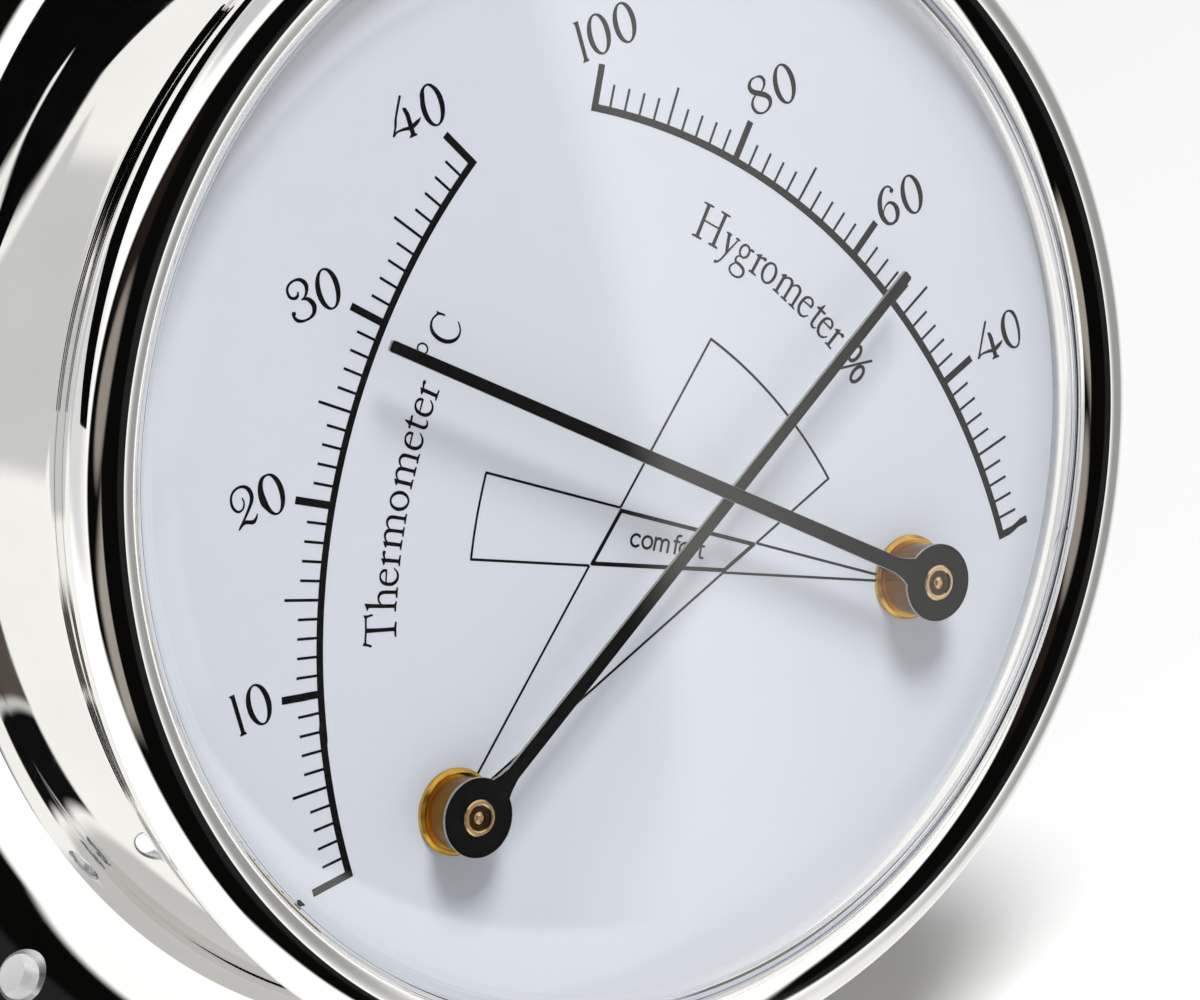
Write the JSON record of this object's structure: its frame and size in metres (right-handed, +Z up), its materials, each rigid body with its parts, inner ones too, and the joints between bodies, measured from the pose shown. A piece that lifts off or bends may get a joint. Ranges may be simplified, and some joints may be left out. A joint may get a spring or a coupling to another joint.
{
  "type": "thermo-hygrometer",
  "caption": "Round wall instrument in a polished flanged case: two crossing pointers over a white dial under a raised crystal, temperature arc at left, humidity arc at right",
  "frame": {"origin": "centre of the flange's back face, which lies against the wall", "axes": "+Y into the wall, the dial faces -Y, +Z up the dial, +X to the reader's right"},
  "size_m": [0.116, 0.0355, 0.116],
  "materials": {
    "case": "polished chrome plate on turned brass",
    "dial": "silk white lacquer, screen printed in black",
    "spacer": "plain white ring",
    "gasket": "black flat gasket",
    "crystal": "clear moulded crystal, slight dome",
    "cover": "black moulded, fine texture",
    "steel": "plain zinc-plated steel",
    "brass": "turned brass, lacquered",
    "bimetal": "rolled strip",
    "pointer": "flat black, bright cut edge"
  },
  "bodies": {
    "case": {"case_body": "case", "bezel_ring": "case", "dial_plate": "dial", "spacer_ring": "spacer", "crystal_gasket": "gasket", "crystal": "crystal", "back_cover": "cover", "back_cover_screws": "steel", "thermometer_bush": "brass", "hygrometer_bush": "brass", "thermometer_bush_nut": "brass", "hygrometer_bush_nut": "brass", "bush_washers": "steel", "thermometer_carrier_plate": "brass", "hygrometer_carrier_plate": "brass", "thermometer_bridge": "brass", "hygrometer_bridge": "brass", "bridge_pillars": "brass", "bridge_screws": "steel", "bimetal_coil": "bimetal", "thermometer_coil_post": "brass"},
    "thermometer_hand": {"thermometer_spindle": "brass", "thermometer_pointer": "pointer", "thermometer_collet": "brass", "thermometer_coil_hub": "brass"},
    "hygrometer_adjuster": {"adjuster_lever": "steel", "adjuster_clip": "steel", "humidity_coil": "bimetal"},
    "hygrometer_hand": {"hygrometer_spindle": "brass", "hygrometer_pointer": "pointer", "hygrometer_collet": "brass", "hygrometer_coil_hub": "brass"}
  },
  "joints": [
    {"name": "thermometer_reading", "type": "hinge", "parent": "case", "child": "thermometer_hand", "pos_m": [0.0219, -0.028, -0.01952], "axis": [0, 1, 0], "range_deg": [-41.9, 16.7], "stiffness_Nm_per_rad": 0.002, "deforming": ["bimetal_coil"]},
    {"name": "hygrometer_adjustment", "type": "hinge", "parent": "case", "child": "hygrometer_adjuster", "pos_m": [-0.02156, -0.028, -0.01952], "axis": [0, 1, 0], "range_deg": [-3, 3]},
    {"name": "hygrometer_reading", "type": "hinge", "parent": "hygrometer_adjuster", "child": "hygrometer_hand", "pos_m": [-0.02156, -0.028, -0.01952], "axis": [0, -1, 0], "range_deg": [-17.2, 32.5], "stiffness_Nm_per_rad": 0.002, "deforming": ["humidity_coil"]}
  ]
}
